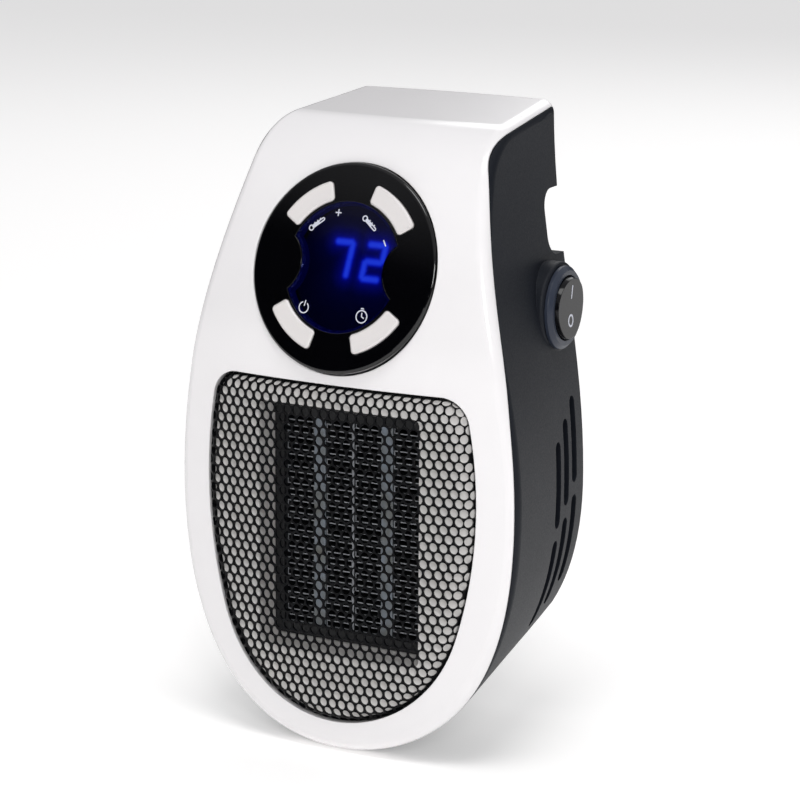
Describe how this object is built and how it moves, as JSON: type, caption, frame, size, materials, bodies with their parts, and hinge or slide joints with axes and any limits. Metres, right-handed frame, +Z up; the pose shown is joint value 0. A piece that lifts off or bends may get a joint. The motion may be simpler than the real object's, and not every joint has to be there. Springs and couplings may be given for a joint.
{
  "type": "plug-in fan heater",
  "caption": "Pear-shaped plug-in fan heater with a white front cover, black grille, round tilted control panel, rocker switch and a swivelling wall plug.",
  "frame": {"origin": "centre of the plug hub's outer face, on the wall plane", "axes": "+Y into the wall, +Z up, +X to the right for someone who faces the heater"},
  "size_m": [0.0978, 0.0795, 0.1589],
  "materials": {
    "cover_white": "moulded, glossy",
    "duct_white": "moulded, satin",
    "rocker_black": "satin, white marks",
    "key_white": "moulded, bevelled edge",
    "housing_black": "moulded, fine grain",
    "switch_black": "moulded",
    "panel_black": "glossy",
    "lens_smoked": "smoked, clear enough for the digits",
    "grille_black": "powder coated sheet",
    "heater_grey": "anodised",
    "heater_dark": "heat darkened",
    "board_green": "solder resist",
    "brass": "stamped",
    "steel": "zinc plated",
    "copper": "enamelled winding",
    "lead_black": "insulation",
    "lead_white": "insulation"
  },
  "bodies": {
    "case": {"case_screws": "steel", "control_board": "board_green", "control_board_screws": "steel", "control_panel": "panel_black", "display_module": "switch_black", "display_window": "lens_smoked", "duct_screws": "steel", "fan_bearing": "brass", "fan_screws": "steel", "fan_shroud": "housing_black", "fan_stator": "copper", "front_cover": "cover_white", "grille": "grille_black", "heater_bars": "heater_grey", "heater_divider": "heater_dark", "heater_fins": "heater_dark", "heater_frame": "heater_grey", "heater_terminals": "brass", "lead_plug_to_board": "lead_white", "lead_plug_to_switch": "lead_black", "lead_switch_to_board": "lead_black", "leads_fan": "lead_black", "leads_heater": "lead_white", "leads_panel": "lead_white", "outlet_duct": "duct_white", "plug_brushes": "brass", "plug_retainer": "housing_black", "power_board": "board_green", "power_board_parts": "switch_black", "power_board_screws": "steel", "rear_housing": "housing_black", "retainer_screws": "steel", "rocker_housing": "switch_black", "switch_terminals": "brass", "tact_switches": "switch_black", "thermal_cutoff": "switch_black"},
    "plug": {"plug_dial": "housing_black", "plug_blades": "brass", "plug_contacts": "brass"},
    "rocker": {"rocker_key": "rocker_black"},
    "fan": {"fan_impeller": "housing_black", "fan_shaft": "steel"},
    "button_temp_up_body": {"button_temp_up": "key_white"},
    "button_temp_down_body": {"button_temp_down": "key_white"},
    "button_power_body": {"button_power": "key_white"},
    "button_timer_body": {"button_timer": "key_white"}
  },
  "joints": [
    {"name": "button_temp_up_press", "type": "slide", "parent": "case", "child": "button_temp_up_body", "axis": [0, 0.9613, -0.2756], "range_m": [0, 0.0008], "stiffness_N_per_m": 250, "springref_m": -0.0004},
    {"name": "button_temp_down_press", "type": "slide", "parent": "case", "child": "button_temp_down_body", "axis": [0, 0.9613, -0.2756], "range_m": [0, 0.0008], "stiffness_N_per_m": 250, "springref_m": -0.0004},
    {"name": "button_power_press", "type": "slide", "parent": "case", "child": "button_power_body", "axis": [0, 0.9613, -0.2756], "range_m": [0, 0.0008], "stiffness_N_per_m": 250, "springref_m": -0.0004},
    {"name": "button_timer_press", "type": "slide", "parent": "case", "child": "button_timer_body", "axis": [0, 0.9613, -0.2756], "range_m": [0, 0.0008], "stiffness_N_per_m": 250, "springref_m": -0.0004},
    {"name": "rocker_tilt", "type": "hinge", "parent": "case", "child": "rocker", "pos_m": [0.0389, -0.01495, -0.0201], "axis": [-0.0993, 0.9951, 0], "range_deg": [0, 26]},
    {"name": "plug_swivel", "type": "hinge", "parent": "case", "child": "plug", "pos_m": [0, 0, 0], "axis": [0, 1, 0], "range_deg": [-90, 90]},
    {"name": "fan_spin", "type": "hinge", "parent": "case", "child": "fan", "pos_m": [0, -0.0285, -0.073], "axis": [0, 1, 0], "continuous": true}
  ]
}
